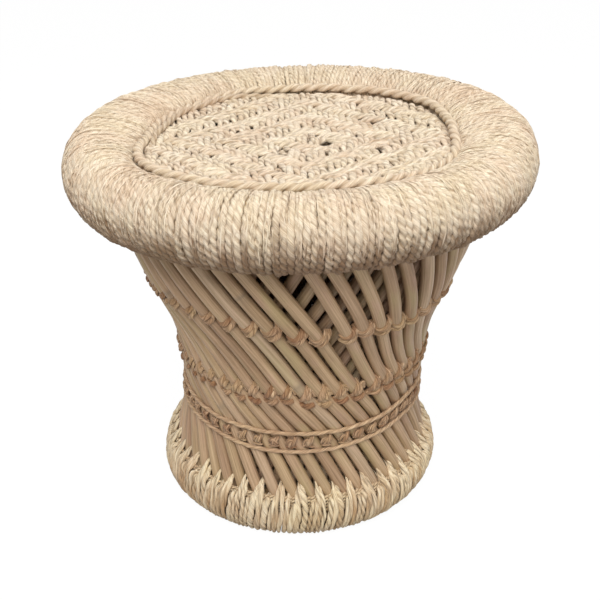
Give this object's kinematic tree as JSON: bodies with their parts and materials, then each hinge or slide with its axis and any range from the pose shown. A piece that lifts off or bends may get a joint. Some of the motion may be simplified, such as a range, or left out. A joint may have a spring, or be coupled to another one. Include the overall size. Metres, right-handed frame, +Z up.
{
  "type": "cane stool",
  "caption": "Round stool: crossed cane lattice drawn in at the waist, rope-wound base ring and thick rim, woven rope seat.",
  "frame": {"origin": "centre of the footprint, on the floor", "axes": "+Z up from the floor; -Y is the front, where one gap in the outer canes stands wider"},
  "size_m": [0.4486, 0.4486, 0.3913],
  "materials": {
    "cane_tan": "smooth dried cane with a soft sheen",
    "cane_pale": "smooth dried cane with a soft sheen",
    "cane_olive": "smooth dried cane, slightly green",
    "cane_pink": "smooth dried cane, slightly pink",
    "inner_cane": "smooth dried cane, in shade",
    "pale_rope": "twisted plant-fibre cord, matt",
    "edge_rope": "thick two-ply plant-fibre cord, matt",
    "straw_rope": "twisted straw-coloured cord, matt",
    "tie_fibre": "flat brown grass binding, matt",
    "grass_bundle": "bundled dry grass, matt"
  },
  "bodies": {
    "root": {"outer_cane_01": "cane_tan", "outer_cane_02": "cane_pale", "outer_cane_03": "cane_olive", "outer_cane_04": "cane_pink", "outer_cane_05": "cane_tan", "outer_cane_06": "cane_tan", "outer_cane_07": "cane_pale", "outer_cane_08": "cane_olive", "outer_cane_09": "cane_pink", "outer_cane_10": "cane_tan", "outer_cane_11": "cane_tan", "outer_cane_12": "cane_pale", "outer_cane_13": "cane_olive", "outer_cane_14": "cane_pink", "outer_cane_15": "cane_tan", "outer_cane_16": "cane_tan", "outer_cane_17": "cane_pale", "outer_cane_18": "cane_olive", "outer_cane_19": "cane_pink", "outer_cane_20": "cane_tan", "outer_cane_21": "cane_tan", "outer_cane_22": "cane_pale", "outer_cane_23": "cane_olive", "outer_cane_24": "cane_pink", "outer_cane_25": "cane_tan", "outer_cane_26": "cane_tan", "outer_cane_27": "cane_pale", "outer_cane_28": "cane_olive", "outer_cane_29": "cane_pink", "outer_cane_30": "cane_tan", "outer_cane_31": "cane_tan", "outer_cane_32": "cane_pale", "outer_cane_33": "cane_olive", "outer_cane_34": "cane_pink", "outer_cane_35": "cane_tan", "outer_cane_36": "cane_tan", "outer_cane_37": "cane_pale", "outer_cane_38": "cane_olive", "outer_cane_39": "cane_pink", "outer_cane_40": "cane_tan", "outer_cane_41": "cane_tan", "outer_cane_42": "cane_pale", "outer_cane_43": "cane_olive", "outer_cane_44": "cane_pink", "outer_cane_45": "cane_tan", "outer_cane_46": "cane_tan", "outer_cane_47": "cane_pale", "outer_cane_48": "cane_olive", "inner_cane_lattice": "inner_cane", "base_winding": "straw_rope", "rim_core": "grass_bundle", "rim_winding": "pale_rope", "woven_seat": "pale_rope", "seat_edge_cord": "edge_rope", "upper_tie_cord": "tie_fibre", "middle_tie_cord": "tie_fibre", "belt_top_cord": "straw_rope", "belt_bottom_cord": "straw_rope", "belt_knot_chain": "tie_fibre"}
  },
  "joints": []
}
